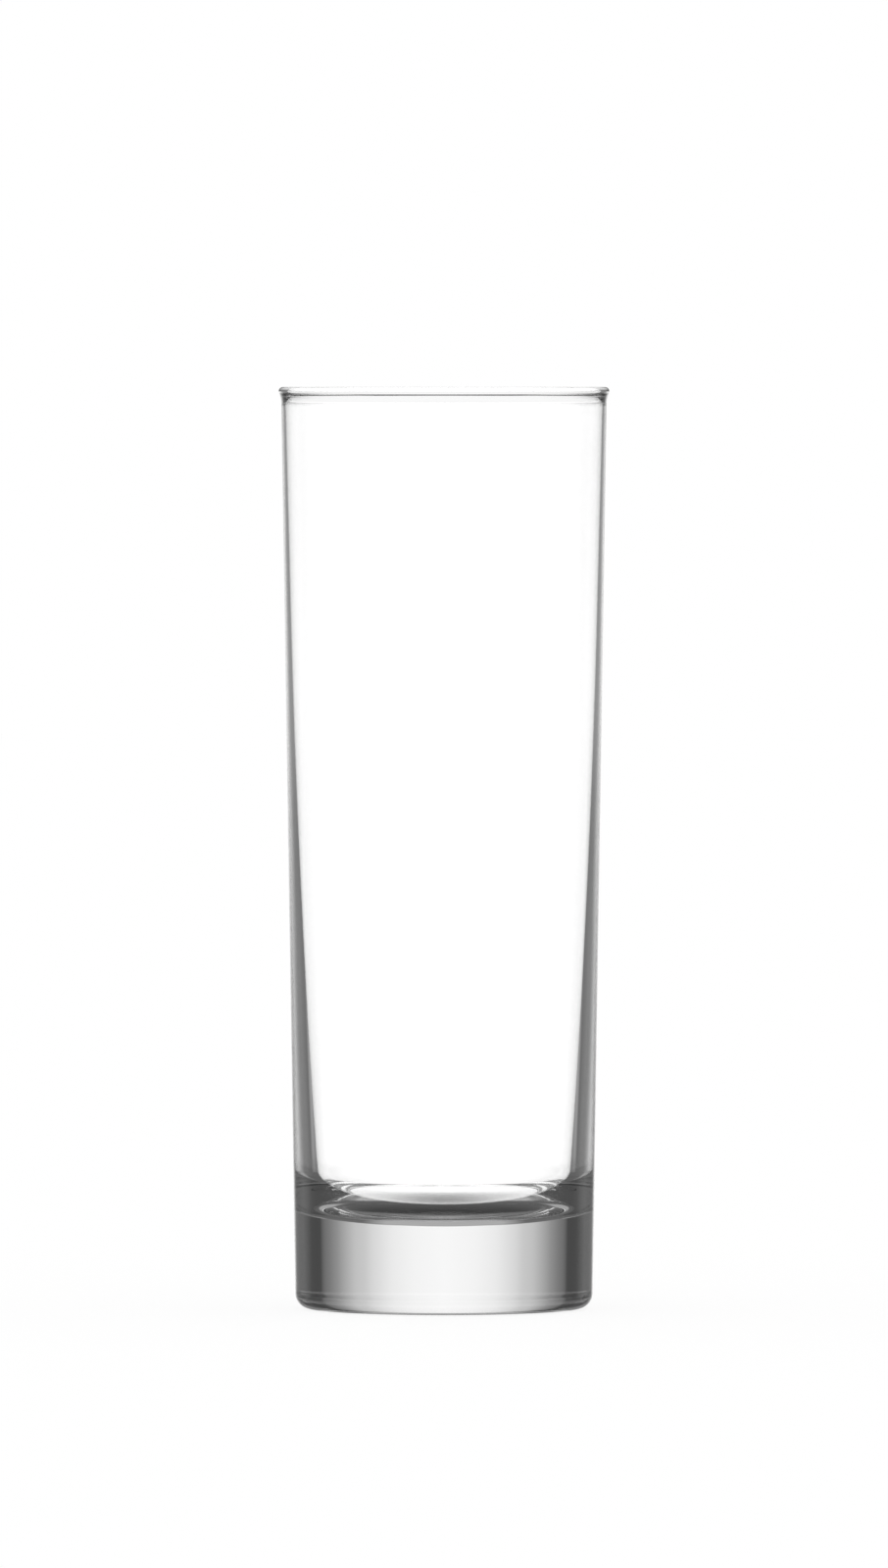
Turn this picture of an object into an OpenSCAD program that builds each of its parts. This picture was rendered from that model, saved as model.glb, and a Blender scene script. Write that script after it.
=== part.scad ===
// Highball glass: a slim tapered tumbler of clear pressed glass.
// It stands on z = 0 with its axis on +Z.
// The one piece of glass is drawn as its three zones, each a solid that meets the next face to face:
// the heavy base, the wall that thins upward, and the rounded bead of the rim.

/* [Outside] */
// Height from the table to the top of the rim
glass_h = 160; // [130:1:190]
// Outside diameter of the wall where the rim starts
mouth_d = 56.4; // [54:0.1:57]
// Outside diameter that the wall would have at the table, without the heel
foot_d = 51.6; // [48:0.1:56]
// Radius of the heel, where the wall turns under into the base
heel_r = 2.6; // [1:0.1:4]

/* [Base] */
// Thickness of the glass at the middle of the base, above the table
floor_h = 14.7; // [8:0.1:30]
// Radius of the corner inside, between the floor and the wall
corner_r = 9; // [4:0.1:12]
// How far the middle of the floor sinks below that corner, as a shallow dish
floor_sag = 0.5; // [0.2:0.1:4]
// Width of the flat ring that the glass stands on
ring_w = 2.6; // [1:0.1:6]
// Depth of the hollow under the base
hollow_h = 0.3; // [0.1:0.1:1.5]

/* [Wall] */
// Thickness of the wall where the rim starts
lip_t = 0.66; // [0.5:0.01:0.8]
// Thickness of the wall at the height where it starts to thicken
waist_t = 1.07; // [0.9:0.01:2]
// Height at which the wall starts to thicken downward
waist_h = 118; // [70:1:125]
// Thickness of the wall at the top of the inside corner
root_t = 4.1; // [3:0.05:6]

/* [Rim] */
// How far the bead stands out beyond the wall
bead_out = 0.5; // [0.3:0.05:0.6]
// Thickness of the bead
bead_t = 1.5; // [1.3:0.05:1.9]
// Height of the whole rim, from the end of the wall to the top of the bead
rim_h = 3.4; // [3.2:0.1:5]
// Radius of the blend from the wall out to the bead
outer_blend_r = 5; // [2:0.1:5.5]
// Radius of the blend from the wall in to the bead
inner_blend_r = 0.6; // [0.4:0.1:1]

/* [Hidden] */
$fn = 180;
glass = [0.84, 0.90, 0.91, 0.45];

// How many straight steps draw the curve of the wall inside, below the waist
waist_steps = 8;

// How far two curves that run into each other overlap, so that they cross at one clean edge
overlap = 0.001;

// Heights of the joints between the zones
rim_z = glass_h - rim_h;
root_z = floor_h + floor_sag + corner_r;

// Outside radius of the wall at a height
outer_slope = (mouth_d - foot_d) / 2 / rim_z;
function outer_r(z) = foot_d / 2 + outer_slope * z;

// Thickness of the wall at a height: a straight taper down to the waist, then a parabola to the root
waist_slope = (waist_t - lip_t) / (rim_z - waist_h);
curve_h = waist_h - root_z;
curve_t = root_t - waist_t - waist_slope * curve_h;
function wall_t(z) =
    z >= waist_h
    ? lip_t + waist_slope * (rim_z - z)
    : waist_t + waist_slope * (waist_h - z) + curve_t * pow((waist_h - z) / curve_h, 2);

// Inside radius of the wall at a height
function inner_r(z) = outer_r(z) - wall_t(z);

// The corner inside starts square to the wall, which leans outward there by root_lean
root_lean = atan(outer_slope + waist_slope + 2 * curve_t / curve_h);
corner_x = inner_r(root_z) - corner_r * cos(root_lean);
corner_z = root_z + corner_r * sin(root_lean);

// The floor is a shallow dish that runs into the corner without an edge
corner_up = corner_z - floor_h;
floor_r = corner_r - overlap;
dish_r = (pow(corner_x, 2) + pow(corner_up, 2) - pow(floor_r, 2)) / (corner_up - floor_r) / 2;
dish_edge_x = corner_x * dish_r / (dish_r - floor_r);

// The heel is an arc from the table up to the leaning wall
outer_lean = atan(outer_slope);
heel_x = outer_r(heel_r) - (heel_r - overlap) / cos(outer_lean);
heel_up = heel_r - heel_r * sin(outer_lean);

// The hollow under the base is a shallow dome inside the ring
hollow_x = heel_x - ring_w;
dome_r = (pow(hollow_x, 2) + pow(hollow_h, 2)) / (2 * hollow_h);

// The bead is round in section and blends into the wall on both sides, with heights taken from rim_z
bead_r = bead_t / 2;
bead_x = mouth_d / 2 + bead_out - bead_r;
bead_up = rim_h - bead_r;
lip_out_x = outer_r(rim_z);
lip_in_x = inner_r(rim_z);
outer_blend_x = lip_out_x + outer_blend_r;
inner_blend_x = lip_in_x - inner_blend_r;
outer_reach = bead_r + outer_blend_r - overlap;
inner_reach = bead_r + inner_blend_r - overlap;
outer_blend_up = bead_up - sqrt(pow(outer_reach, 2) - pow(outer_blend_x - bead_x, 2));
inner_blend_up = bead_up - sqrt(pow(inner_reach, 2) - pow(bead_x - inner_blend_x, 2));

// Section of the cavity inside the base: the dish of the floor and the round corner
module floor_section() {
    intersection() {
        translate([0, floor_h]) translate([0, dish_r]) circle(r = dish_r, $fn = 8 * $fn);
        square([dish_edge_x, root_z]);
    }
    intersection() {
        translate([corner_x, corner_z]) circle(r = corner_r);
        translate([corner_x, 0]) square([foot_d, root_z]);
    }
}

// Section of the hollow under the base
module hollow_section() {
    intersection() {
        translate([0, hollow_h]) translate([0, -dome_r]) circle(r = dome_r, $fn = 16 * $fn);
        square([foot_d, hollow_h]);
    }
}

// Section of the outside of the base: the leaning wall and the round heel
module foot_section() {
    intersection() {
        polygon([
            [0, 0],
            [outer_r(0), 0],
            [outer_r(root_z), root_z],
            [0, root_z]
        ]);
        union() {
            square([heel_x, root_z]);
            translate([0, heel_up]) square([foot_d, root_z]);
            translate([heel_x, heel_r]) circle(r = heel_r);
        }
    }
}

// The heavy base, with the floor and the corner inside, the heel, and the hollow under it
module base() {
    color(glass) rotate_extrude() difference() {
        foot_section();
        floor_section();
        hollow_section();
    }
}

// The wall: straight outside, and thicker toward the base inside
module wall() {
    color(glass) rotate_extrude() polygon([
        [outer_r(root_z), root_z],
        [outer_r(rim_z), rim_z],
        [inner_r(rim_z), rim_z],
        for (i = [waist_steps : -1 : 0])
            let (z = root_z + curve_h * i / waist_steps)
            [inner_r(z), z]
    ]);
}

// The rim: a round bead with its blends down to the wall
module rim() {
    color(glass) translate([0, 0, rim_z]) rotate_extrude() {
        translate([bead_x, bead_up]) circle(r = bead_r);
        difference() {
            polygon([
                [lip_in_x, 0],
                [lip_out_x, 0],
                [lip_out_x, outer_blend_up],
                [outer_blend_x, outer_blend_up],
                [bead_x, bead_up],
                [inner_blend_x, inner_blend_up],
                [lip_in_x, inner_blend_up]
            ]);
            translate([outer_blend_x, outer_blend_up]) circle(r = outer_blend_r);
            translate([inner_blend_x, inner_blend_up]) circle(r = inner_blend_r);
        }
    }
}

base();
wall();
rim();
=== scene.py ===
"""Highball glass: clear pressed glass with a heavy base, in the bright field that shows it.

Every length is in metres. The glass stands on the floor at the origin with its axis on +Z.
"""

import math

import bpy
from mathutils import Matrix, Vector


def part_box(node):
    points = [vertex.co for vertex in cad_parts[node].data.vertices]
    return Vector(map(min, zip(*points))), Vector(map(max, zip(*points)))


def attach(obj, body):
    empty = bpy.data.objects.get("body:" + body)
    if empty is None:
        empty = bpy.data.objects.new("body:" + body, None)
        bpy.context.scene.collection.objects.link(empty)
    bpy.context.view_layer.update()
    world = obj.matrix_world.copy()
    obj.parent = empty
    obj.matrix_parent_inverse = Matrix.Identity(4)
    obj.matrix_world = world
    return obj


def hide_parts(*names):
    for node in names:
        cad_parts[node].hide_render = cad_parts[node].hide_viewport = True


bl_info = {
    "name": "Highball Glass",
    "version": (1, 0, 0),
    "blender": (4, 5, 0),
    "location": "3D Viewport > Sidebar > Glassware",
    "description": "Models a slim highball glass and lights it in a bright field",
    "category": "Add Mesh",
}

MM = 0.001
DEGREE = 180.0 / math.pi

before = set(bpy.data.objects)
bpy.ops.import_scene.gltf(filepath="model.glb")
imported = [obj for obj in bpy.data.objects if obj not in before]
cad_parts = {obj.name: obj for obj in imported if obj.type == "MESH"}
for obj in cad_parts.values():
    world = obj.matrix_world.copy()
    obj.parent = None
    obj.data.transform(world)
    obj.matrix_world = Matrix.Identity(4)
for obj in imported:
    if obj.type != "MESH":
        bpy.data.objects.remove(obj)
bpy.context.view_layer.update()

# The boxes of the three CAD zones give the heights and radii that the glass is built to
BASE_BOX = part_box("base")
WALL_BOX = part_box("wall")
RIM_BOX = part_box("rim")
GLASS_H = RIM_BOX[1][2]
RIM_Z = RIM_BOX[0][2]
ROOT_Z = WALL_BOX[0][2]
ROOT_R = BASE_BOX[1][0]
MOUTH_R = WALL_BOX[1][0]
BEAD_R = RIM_BOX[1][0]

# How many steps draw each curve of the section
HOLLOW_STEPS = 8
HEEL_STEPS = 16
BLEND_STEPS = 8
BEAD_STEPS = 20
CURVE_STEPS = 34
CORNER_STEPS = 30
FLOOR_STEPS = 16

# Stops along the straight stretches, closer together near both ends
RING_STOPS = (0.12, 0.88, 1.0)
OUTSIDE_STOPS = (0.002, 0.02, 0.1, 0.25, 0.4, 0.55, 0.7, 0.85, 0.95, 1.0)
TAPER_STOPS = (0.05, 0.3, 0.65, 0.95, 1.0)

# Vertices nearer than this become one, where the turned section meets itself and the axis
MERGE_GAP = 0.0003 * MM

# The stage: a wide floor a hair under the foot, and a long lens level with the rim that looks
# slightly down on the middle of the glass. The lens and its sensor are in millimetres
STAGE_R = 5.0
STAGE_SIDES = 96
STAGE_DROP = 0.1 * MM
EYE = Vector((0.0, -3.053, 0.16))
AIM = Vector((0.0, 0.0, 0.09109))
LENS = 403.8
SENSOR = 36.0
SIGHT = 60.0

# Light is caught inside a heavy base for many turns before it leaves
BOUNCES = 24

# Spans of the ramps, in degrees: to the side of +Y, and above or below the horizon
ROUND = (0.0, 180.0)
RISE = (-90.0, 90.0)
UPWARD = (0.0, 90.0)
DOWNWARD = (-90.0, 0.0)


def deselect():
    """Clears the selection, because an operator acts on all that is selected."""
    if bpy.context.object and bpy.context.object.mode != "OBJECT":
        bpy.ops.object.mode_set(mode="OBJECT")
    bpy.ops.object.select_all(action="DESELECT")


# Sizes and looks that a user would change


def length(name, text, default, soft_max):
    """A length property in metres."""
    return bpy.props.FloatProperty(
        name=name,
        description=text,
        default=default,
        min=0.0,
        soft_max=soft_max,
        unit="LENGTH",
        precision=5,
    )


def level(name, text, default, soft_max=1.5):
    """A plain number, such as a share or a strength of light."""
    return bpy.props.FloatProperty(
        name=name, description=text, default=default, min=0.0, soft_max=soft_max, precision=3
    )


class GlassSizes(bpy.types.PropertyGroup):
    """Sizes of the glass that the boxes of the CAD zones don't give"""

    heel_r: length("Heel Radius", "Radius where the wall turns under the base", 2.6 * MM, 0.01)
    ring_w: length("Foot Ring", "Width of the flat ring that the glass stands on", 2.6 * MM, 0.01)
    hollow_h: length("Hollow", "Depth of the hollow under the base", 0.3 * MM, 0.004)
    floor_h: length("Floor Height", "Thickness at the middle of the base", 14.7 * MM, 0.04)
    corner_r: length("Corner Radius", "Radius between the floor and the wall", 9.0 * MM, 0.012)
    lip_t: length("Lip Thickness", "Thickness where the rim starts", 0.66 * MM, 0.003)
    waist_t: length("Waist Thickness", "Thickness where it starts to grow", 1.07 * MM, 0.004)
    waist_h: length("Waist Height", "Height where the wall starts to grow", 118.0 * MM, 0.15)
    root_t: length("Root Thickness", "Thickness above the inside corner", 4.1 * MM, 0.01)
    bead_t: length("Bead Thickness", "Thickness of the round bead", 1.5 * MM, 0.004)
    outer_blend_r: length("Outer Blend", "Blend from the wall out to the bead", 5.0 * MM, 0.006)
    inner_blend_r: length("Inner Blend", "Blend from the wall in to the bead", 0.6 * MM, 0.004)
    sides: bpy.props.IntProperty(
        name="Sides", description="Steps of the lathe round the axis", default=540, min=24, max=720
    )


class GlassLook(bpy.types.PropertyGroup):
    """Finish of the glass"""

    tint: bpy.props.FloatVectorProperty(
        name="Tint",
        description="Colour of the glass, white for a clear one",
        subtype="COLOR",
        size=4,
        min=0.0,
        max=1.0,
        default=(1.0, 1.0, 1.0, 1.0),
    )
    ior: level("Index", "Index of refraction of soda-lime glass", 1.52, 2.0)
    wave: length("Waviness", "Height of the faint waves that the mould leaves", 0.0015 * MM, 0.0001)
    wave_scale: level("Wave Scale", "Waves in a metre", 55.0, 400.0)


class StudioLight(bpy.types.PropertyGroup):
    """Levels of the light field"""

    field: level("Bright Field", "Strength of the white sweep behind the glass", 1.0)
    inside: level("Inside", "Strength of the field seen through the cavity", 1.22)
    deep: level("Deep", "Strength of what is turned back many times in the base", 0.07)
    shadow: level("Shadow", "Share of the floor that takes the shadow of the glass", 0.12, 1.0)


# The half section


class Section:
    """A half section drawn as by hand: one vertex, pulled on in edit mode step by step."""

    def __init__(self, x, z):
        deselect()
        bpy.ops.mesh.primitive_plane_add(size=MM, location=(0, 0, 0))
        bpy.ops.object.mode_set(mode="EDIT")
        bpy.ops.mesh.select_all(action="SELECT")
        bpy.ops.mesh.merge(type="CENTER")
        bpy.ops.transform.translate(value=(x, 0, z))
        self.x, self.z = x, z

    def line_to(self, x, z, shares=(1.0,)):
        """Pulls a straight piece to a place, with a stop at each share of the way."""
        start_x, start_z = self.x, self.z
        for share in shares:
            next_x = start_x + (x - start_x) * share
            next_z = start_z + (z - start_z) * share
            bpy.ops.mesh.extrude_region_move(
                TRANSFORM_OT_translate={"value": (next_x - self.x, 0, next_z - self.z)}
            )
            self.x, self.z = next_x, next_z

    def arc(self, center_x, center_z, end, steps):
        """Pulls an arc round a centre, the short way, until the end stands at an angle from +X."""
        start = math.atan2(self.z - center_z, self.x - center_x)
        turn = (end - start + math.pi) % (2 * math.pi) - math.pi
        radius = math.hypot(self.x - center_x, self.z - center_z)
        for step in range(1, steps + 1):
            angle = start + turn * step / steps
            self.line_to(
                center_x + radius * math.cos(angle), center_z + radius * math.sin(angle)
            )

    def lathe(self, name, sides):
        """Turns the section once round the axis into a closed mesh with smooth shading."""
        bpy.ops.object.mode_set(mode="OBJECT")
        piece = bpy.context.object
        piece.name = name
        piece.data.name = name
        bpy.ops.object.modifier_add(type="SCREW")
        screw = piece.modifiers[-1]
        screw.axis = "Z"
        screw.angle = 2 * math.pi
        screw.steps = screw.render_steps = sides
        screw.use_merge_vertices = True
        screw.merge_threshold = MERGE_GAP
        bpy.ops.object.modifier_apply(modifier=screw.name)
        bpy.ops.object.mode_set(mode="EDIT")
        bpy.ops.mesh.select_all(action="SELECT")
        bpy.ops.mesh.normals_make_consistent(inside=False)
        bpy.ops.object.mode_set(mode="OBJECT")
        bpy.ops.object.shade_smooth()
        return piece


# Node helpers


def new_nodes(owner):
    """Clears a material's or world's node tree and returns it."""
    owner.use_nodes = True
    owner.node_tree.nodes.clear()
    return owner.node_tree


def add(tree, kind, values=None, **options):
    """Adds a node. Options set its properties, and values its inputs, by a number or a link."""
    node = tree.nodes.new(kind)
    for name, value in options.items():
        setattr(node, name, value)
    for key, value in (values or {}).items():
        if isinstance(value, bpy.types.NodeSocket):
            tree.links.new(value, node.inputs[key])
        else:
            node.inputs[key].default_value = value
    return node


def calc(tree, operation, a, b=0.0):
    """A Math node's result."""
    return add(tree, "ShaderNodeMath", {0: a, 1: b}, operation=operation).outputs[0]


def blend(tree, factor, a, b):
    """A plain mix of two numbers."""
    mix = add(tree, "ShaderNodeMix", {0: factor, 2: a, 3: b}, data_type="FLOAT")
    return mix.outputs[0]


def ramp(tree, factor, span, stops):
    """Grey levels by given stops, each a place within the span and a level up to 1."""
    low, high = span
    place = calc(tree, "DIVIDE", calc(tree, "SUBTRACT", factor, low), high - low)
    node = add(tree, "ShaderNodeValToRGB", {0: place})
    elements = node.color_ramp.elements
    while len(elements) > 1:
        elements.remove(elements[-1])
    for index, (at, grey) in enumerate(stops):
        share = (at - low) / (high - low)
        element = elements[0] if index == 0 else elements.new(share)
        element.position = share
        element.color = (grey, grey, grey, 1.0)
    return node.outputs["Color"]


def at_least(tree, depth, count):
    """1 where a depth of the light path has reached a count, and 0 elsewhere."""
    return calc(tree, "GREATER_THAN", depth, count - 0.5)


def at_most(tree, depth, count):
    """1 where a depth of the light path hasn't passed a count, and 0 elsewhere."""
    return calc(tree, "LESS_THAN", depth, count + 0.5)


def met_glass(tree, path):
    """1 for a ray that the glass reflects or refracts, and 0 for any other."""
    return calc(tree, "MAXIMUM", path["Is Glossy Ray"], path["Is Transmission Ray"])


def turns(tree, path):
    """Whether a ray was turned back in the glass, and whether it crossed both walls, by 4 faces."""
    return at_least(tree, path["Glossy Depth"], 1), at_least(tree, path["Transmission Depth"], 4)


# Finishes


def clear_glass(look):
    """Clear soda-lime glass, fire-polished, with faint waves from the mould."""
    material = bpy.data.materials.new("clear_glass")
    tree = new_nodes(material)
    coords = add(tree, "ShaderNodeTexCoord").outputs["Object"]
    # The waves are drawn out along the axis, as the glass stretched
    stretched = add(tree, "ShaderNodeMapping", {"Vector": coords, "Scale": (1.0, 1.0, 0.35)})
    waves = add(
        tree,
        "ShaderNodeTexNoise",
        {"Vector": stretched.outputs[0], "Scale": look.wave_scale, "Detail": 1.0, "Roughness": 0.4},
    )
    bump = add(
        tree,
        "ShaderNodeBump",
        {"Strength": 1.0, "Distance": look.wave, "Height": waves.outputs[0]},
    )
    shader = add(
        tree,
        "ShaderNodeBsdfPrincipled",
        {
            "Base Color": look.tint,
            "Roughness": 0.0,
            "IOR": look.ior,
            "Transmission Weight": 1.0,
            "Normal": bump.outputs[0],
        },
    )
    add(tree, "ShaderNodeOutputMaterial", {"Surface": shader.outputs[0]})
    return material


def white_floor(light):
    """White with a faint shadow for the camera; for the glass, a painted shade round the foot."""
    material = bpy.data.materials.new("white_floor")
    tree = new_nodes(material)
    path = add(tree, "ShaderNodeLightPath").outputs
    glow = add(tree, "ShaderNodeEmission", {"Strength": 1.0}).outputs[0]
    matt = add(tree, "ShaderNodeBsdfDiffuse", {"Color": (1.0, 1.0, 1.0, 1.0)}).outputs[0]
    seen = add(tree, "ShaderNodeMixShader", {0: light.shadow, 1: glow, 2: matt}).outputs[0]

    # The glass sees the studio past the floor through a painted shade round the foot, set by
    # millimetres from the axis: one ramp for light that crossed the whole glass, another for light
    # that was turned back in the base
    coords = add(tree, "ShaderNodeTexCoord").outputs["Object"]
    away = add(tree, "ShaderNodeVectorMath", {0: coords}, operation="LENGTH").outputs["Value"]
    away = calc(tree, "DIVIDE", away, MM)
    painted_far_shade = ramp(
        tree,
        away,
        (0.0, 30.0),
        (
            (0, 0.06), (4, 0.12), (8, 0.27), (12, 0.47), (16, 0.64), (20, 0.76), (26, 0.95),
            (30, 1.0),
        ),
    )
    painted_near_shade = ramp(
        tree,
        away,
        (0.0, 26.0),
        ((0, 1.0), (3, 0.8), (6, 0.4), (10, 0.33), (17, 0.45), (22, 0.9), (26, 1.0)),
    )
    # Painted shade: the far ramp for light that crossed both walls, the near ramp for light turned
    # back, none for light that came straight
    turned, through = turns(tree, path)
    shade = blend(tree, through, blend(tree, turned, 1.0, painted_near_shade), painted_far_shade)
    past = add(tree, "ShaderNodeBsdfTransparent", {"Color": shade}).outputs[0]
    both = add(tree, "ShaderNodeMixShader", {0: met_glass(tree, path), 1: seen, 2: past})
    add(tree, "ShaderNodeOutputMaterial", {"Surface": both.outputs[0]})
    return material


# The light field, by degrees to the side of +Y and by degrees above the horizon


def straight_light(tree, side, rise):
    """What comes straight through one wall or the base: the white sweep behind the glass.

    It falls off to the sides and toward the top. What comes from behind the camera, or from
    more than a few degrees below the horizon, is white, so the glass is clear in other views.
    """
    sweep = ramp(
        tree,
        side,
        ROUND,
        (
            (0, 1.0), (8, 0.96), (14, 0.88), (18, 0.77), (20, 0.72), (23, 0.61), (26.5, 0.56),
            (30.3, 0.43), (34.5, 0.29), (39, 0.2), (42, 0.16), (44, 0.105), (45, 0.06), (50, 0.05),
            (56, 0.035), (68, 0.06), (84, 0.125), (98, 0.125), (102, 1.0),
        ),
    )
    above = ramp(tree, rise, UPWARD, ((33, 1.0), (37, 0.3), (60, 0.05)))
    below = ramp(tree, rise, DOWNWARD, ((-5.5, 1.0), (-3, 0.0)))
    return calc(tree, "MAXIMUM", calc(tree, "MULTIPLY", sweep, above), below)


def turned_light(tree, side, rise, glossy_depth, deep_level):
    """What the glass turns back: a strip along the horizon, in a dark room with two lamps.

    Light that is turned back only once also sees a bright sky, and light that is turned back
    five times or more is caught in the base and has one low level.
    """
    strip = ramp(
        tree,
        side,
        ROUND,
        (
            (0, 1.0), (11, 1.0), (13, 0.88), (16, 0.6), (19, 0.38), (22, 0.29), (28, 0.29),
            (34, 0.36), (42, 0.5), (50, 0.45), (57, 0.2), (64, 0.1), (75, 0.12), (90, 0.22),
            (180, 0.25),
        ),
    )
    low_strip = ramp(
        tree,
        side,
        ROUND,
        (
            (0, 1.0), (8, 1.0), (12, 0.85), (16, 0.52), (19, 0.35), (22, 0.22), (26, 0.14),
            (40, 0.13), (44, 0.45), (50, 0.3), (57, 0.15), (64, 0.1), (75, 0.12), (90, 0.22),
            (180, 0.3),
        ),
    )
    upper = ramp(tree, rise, RISE, ((-5.2, 0.0), (-3.8, 1.0)))
    strip = blend(tree, upper, low_strip, strip)

    # The room is dark all round, with two soft lamps ahead, one low and one high
    room = ramp(tree, rise, RISE, ((-90, 0.08), (-40, 0.1), (-16, 0.13), (-2, 0.12), (90, 0.12)))
    ahead = ramp(tree, side, ROUND, ((16, 1.0), (24, 0.0)))
    lamp = ramp(
        tree,
        rise,
        RISE,
        (
            (-50, 0.0), (-38, 0.3), (-16, 0.3), (-6, 0.0), (22, 0.0), (32, 0.35), (50, 0.3),
            (62, 0.0),
        ),
    )
    room = calc(tree, "ADD", room, calc(tree, "MULTIPLY", ahead, lamp))

    # The sky. Behind the camera it shows only between the dark floor of the room and its dark top
    sky = ramp(tree, rise, RISE, ((2, 0.0), (6, 0.25), (14, 0.75), (90, 0.75)))
    behind = ramp(tree, side, ROUND, ((95, 0.0), (115, 1.0)))
    gap = ramp(tree, rise, UPWARD, ((7, 0.0), (11, 1.0), (38, 1.0), (48, 0.0)))
    sky = calc(tree, "MULTIPLY", sky, blend(tree, behind, 1.0, gap))
    sky = calc(tree, "MULTIPLY", sky, at_most(tree, glossy_depth, 1))
    room = calc(tree, "ADD", room, sky)

    along = ramp(tree, rise, RISE, ((-13, 0.0), (-9, 0.85), (-7, 1.0), (-1, 1.0), (1, 0.0)))
    back = blend(tree, along, room, strip)
    return blend(tree, at_least(tree, glossy_depth, 5), back, deep_level)


def inside_light(tree, side, rise, turned, transmission_depth):
    """What crossed both walls, which is white from every side.

    Where it was turned back as well, it is white only ahead and low at the sides, and dim
    elsewhere, until it has passed a sixth face of the glass.
    """
    front = ramp(tree, side, ROUND, ((24, 1.0), (34, 0.1), (180, 0.1)))
    beside = ramp(tree, side, ROUND, ((88, 1.0), (98, 0.1)))
    low = ramp(tree, rise, RISE, ((-1, 1.0), (2, 0.0)))
    partly = calc(tree, "MAXIMUM", front, calc(tree, "MULTIPLY", beside, low))
    early = at_most(tree, transmission_depth, 5)
    return blend(tree, calc(tree, "MULTIPLY", turned, early), 1.0, partly)


def studio_world(light):
    """A bright field: plain white for the camera, and for the glass white ahead, dark beside."""
    world = bpy.data.worlds.new("studio")
    tree = new_nodes(world)
    path = add(tree, "ShaderNodeLightPath").outputs
    coords = add(tree, "ShaderNodeTexCoord").outputs["Generated"]
    way = add(tree, "ShaderNodeSeparateXYZ", {0: coords}).outputs
    side = calc(tree, "ABSOLUTE", calc(tree, "ARCTAN2", way["X"], way["Y"]))
    side = calc(tree, "MULTIPLY", side, DEGREE)
    rise = calc(tree, "MULTIPLY", calc(tree, "ARCSINE", way["Z"]), DEGREE)
    turned, through = turns(tree, path)

    straight = straight_light(tree, side, rise)
    back = turned_light(tree, side, rise, path["Glossy Depth"], light.deep)
    field = calc(tree, "MULTIPLY", blend(tree, turned, straight, back), light.field)
    inside = inside_light(tree, side, rise, turned, path["Transmission Depth"])
    inside = calc(tree, "MULTIPLY", inside, light.inside)
    field = blend(tree, through, field, inside)
    strength = blend(tree, met_glass(tree, path), 1.0, field)
    glow = add(tree, "ShaderNodeBackground", {"Color": (1.0, 1.0, 1.0, 1.0), "Strength": strength})
    add(tree, "ShaderNodeOutputWorld", {"Surface": glow.outputs[0]})
    return world


# The glass and its stage


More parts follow.
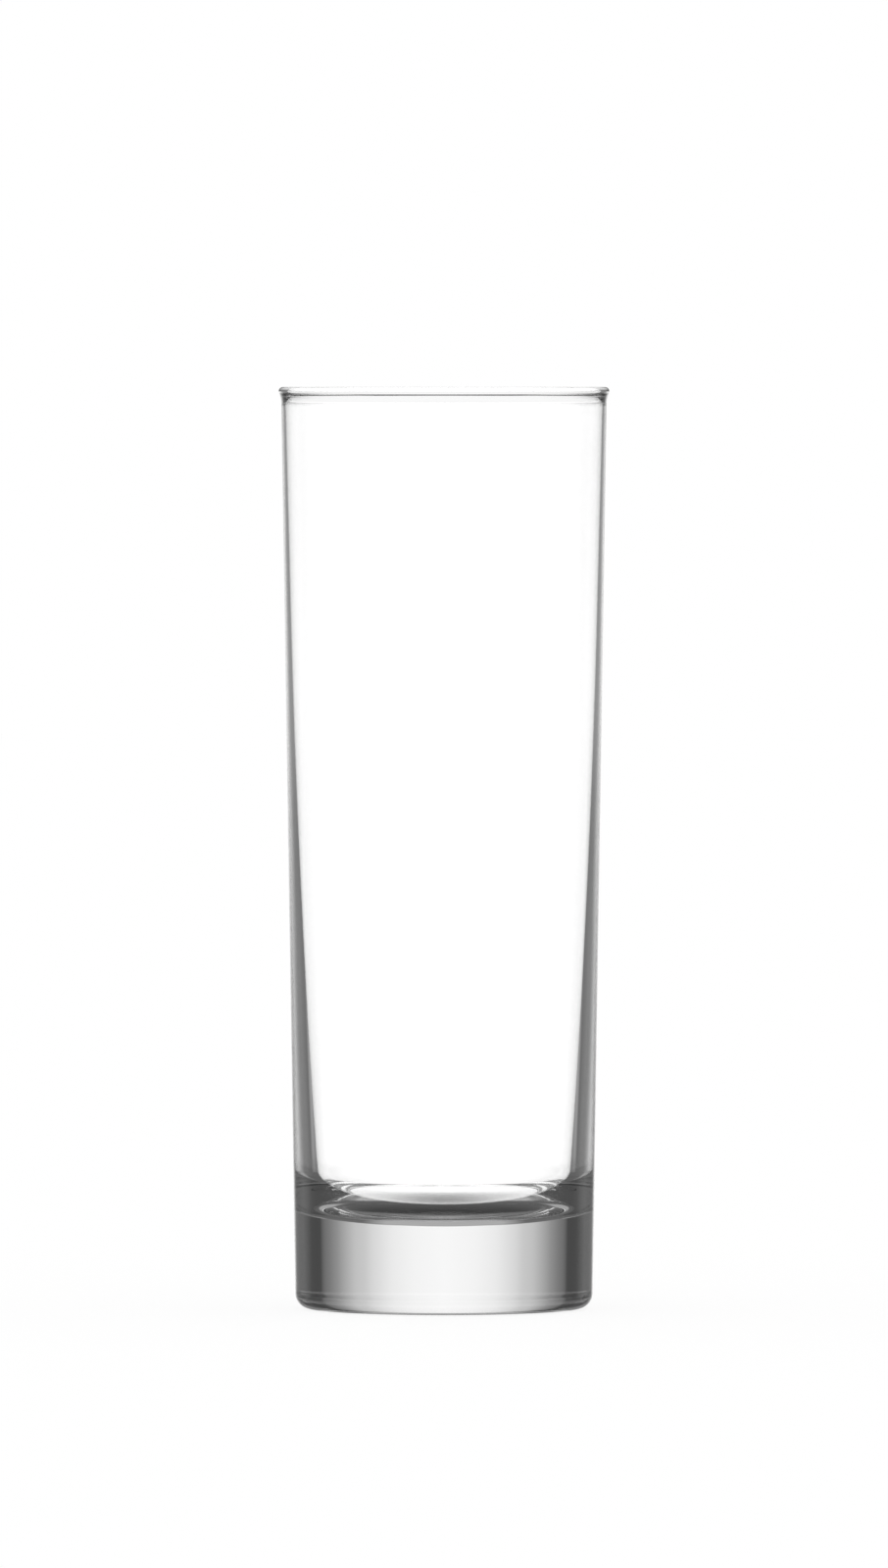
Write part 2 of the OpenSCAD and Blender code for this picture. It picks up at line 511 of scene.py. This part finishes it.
class GLASSWARE_OT_glass(bpy.types.Operator):
    """Models the whole glass in one piece, from the hollow under its base to the bead of its rim"""

    bl_idname = "glassware.glass"
    bl_label = "Add Highball Glass"

    def execute(self, context):
        s = context.scene.glass_sizes

        # The outside leans outward in a straight line
        lean = math.atan((MOUTH_R - ROOT_R) / (RIM_Z - ROOT_Z))

        def outer_r(z):
            return MOUTH_R - (RIM_Z - z) * math.tan(lean)

        # Inside, a straight taper runs down to the waist, and a parabola from there to the root
        taper = (s.waist_t - s.lip_t) / (RIM_Z - s.waist_h)
        curve_h = s.waist_h - ROOT_Z
        curve_t = s.root_t - s.waist_t - taper * curve_h

        def inner_r(z):
            flare = max(0.0, (s.waist_h - z) / curve_h)
            return outer_r(z) - s.lip_t - taper * (RIM_Z - z) - curve_t * flare**2

        # Under the base: the shallow dome, the ring that it stands on, and the heel
        heel_x = outer_r(s.heel_r) - s.heel_r / math.cos(lean)
        hollow_x = heel_x - s.ring_w
        dome_r = (hollow_x**2 + s.hollow_h**2) / (2 * s.hollow_h)
        section = Section(0.0, s.hollow_h)
        section.arc(0.0, s.hollow_h - dome_r, math.acos(hollow_x / dome_r), HOLLOW_STEPS)
        section.line_to(heel_x, 0.0, RING_STOPS)
        section.arc(heel_x, s.heel_r, -lean, HEEL_STEPS)

        # Up the outside, over the bead and back down to the wall inside
        bead_r = s.bead_t / 2
        bead_x = BEAD_R - bead_r
        bead_z = GLASS_H - bead_r
        out_x = MOUTH_R + s.outer_blend_r
        in_x = inner_r(RIM_Z) - s.inner_blend_r
        out_z = bead_z - math.sqrt((bead_r + s.outer_blend_r) ** 2 - (out_x - bead_x) ** 2)
        in_z = bead_z - math.sqrt((bead_r + s.inner_blend_r) ** 2 - (bead_x - in_x) ** 2)
        section.line_to(MOUTH_R, RIM_Z, OUTSIDE_STOPS)
        section.line_to(MOUTH_R, out_z)
        section.arc(out_x, out_z, math.atan2(bead_z - out_z, bead_x - out_x), BLEND_STEPS)
        section.arc(bead_x, bead_z, math.pi / 2, BEAD_STEPS)
        section.arc(bead_x, bead_z, math.atan2(in_z - bead_z, in_x - bead_x), BEAD_STEPS)
        section.arc(in_x, in_z, 0.0, BLEND_STEPS)

        # Down the inside
        section.line_to(inner_r(RIM_Z), RIM_Z)
        section.line_to(inner_r(s.waist_h), s.waist_h, TAPER_STOPS)
        for step in range(1, CURVE_STEPS + 1):
            z = s.waist_h - curve_h * step / CURVE_STEPS
            section.line_to(inner_r(z), z)

        # The corner starts square to the leaning wall and runs into the dish of the floor
        root_lean = math.atan(math.tan(lean) + taper + 2 * curve_t / curve_h)
        corner_x = inner_r(ROOT_Z) - s.corner_r * math.cos(root_lean)
        corner_z = ROOT_Z + s.corner_r * math.sin(root_lean)
        corner_up = corner_z - s.floor_h
        dish_r = (corner_x**2 + corner_up**2 - s.corner_r**2) / (corner_up - s.corner_r) / 2
        dish_z = s.floor_h + dish_r
        section.arc(corner_x, corner_z, math.atan2(corner_z - dish_z, corner_x), CORNER_STEPS)
        section.arc(0.0, dish_z, -math.pi / 2, FLOOR_STEPS)

        glass = section.lathe("highball_glass", s.sides)
        glass.data.materials.append(clear_glass(context.scene.glass_look))
        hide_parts("base", "wall", "rim")
        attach(glass, "root")
        return {"FINISHED"}


class GLASSWARE_OT_studio(bpy.types.Operator):
    """Sets the stage: the white floor, the bright field round it and the camera"""

    bl_idname = "glassware.studio"
    bl_label = "Set Up the Studio"

    def execute(self, context):
        light = context.scene.studio_light
        deselect()
        bpy.ops.mesh.primitive_circle_add(
            vertices=STAGE_SIDES, radius=STAGE_R, fill_type="NGON", location=(0, 0, 0)
        )
        floor = context.object
        floor.name = "floor"
        bpy.ops.object.mode_set(mode="EDIT")
        bpy.ops.mesh.select_all(action="SELECT")
        bpy.ops.transform.translate(value=(0, 0, -STAGE_DROP))
        bpy.ops.object.mode_set(mode="OBJECT")
        floor.data.materials.append(white_floor(light))
        context.scene.world = studio_world(light)

        bpy.ops.object.camera_add(location=EYE)
        camera = context.object
        camera.name = "camera"
        camera.rotation_euler = (AIM - EYE).to_track_quat("-Z", "Y").to_euler()
        camera.data.lens = LENS
        camera.data.sensor_width = SENSOR
        camera.data.clip_end = SIGHT
        camera.data.dof.use_dof = False
        context.scene.camera = camera
        context.scene.view_settings.view_transform = "Standard"

        cycles = context.scene.cycles
        cycles.max_bounces = cycles.glossy_bounces = cycles.transmission_bounces = BOUNCES
        return {"FINISHED"}


class GLASSWARE_PT_panel(bpy.types.Panel):
    """Lists the glass and the studio"""

    bl_label = "Highball Glass"
    bl_idname = "GLASSWARE_PT_panel"
    bl_space_type = "VIEW_3D"
    bl_region_type = "UI"
    bl_category = "Glassware"

    def draw(self, context):
        layout = self.layout
        groups = (
            (context.scene.glass_sizes, GlassSizes),
            (context.scene.glass_look, GlassLook),
            (context.scene.studio_light, StudioLight),
        )
        for values, group in groups:
            box = layout.box()
            for name in group.__annotations__:
                box.prop(values, name)
        layout.operator("glassware.glass")
        layout.operator("glassware.studio")


CLASSES = (
    GlassSizes,
    GlassLook,
    StudioLight,
    GLASSWARE_OT_glass,
    GLASSWARE_OT_studio,
    GLASSWARE_PT_panel,
)


def register():
    """Registers the classes and hangs their values on the scene."""
    for cls in CLASSES:
        bpy.utils.register_class(cls)
    bpy.types.Scene.glass_sizes = bpy.props.PointerProperty(type=GlassSizes)
    bpy.types.Scene.glass_look = bpy.props.PointerProperty(type=GlassLook)
    bpy.types.Scene.studio_light = bpy.props.PointerProperty(type=StudioLight)


def unregister():
    """Takes them off again, in the opposite order."""
    del bpy.types.Scene.studio_light
    del bpy.types.Scene.glass_look
    del bpy.types.Scene.glass_sizes
    for cls in reversed(CLASSES):
        bpy.utils.unregister_class(cls)


def main():
    """Registers the classes, then makes the stage and the glass."""
    register()
    bpy.ops.glassware.studio()
    bpy.ops.glassware.glass()


if __name__ == "__main__":
    main()
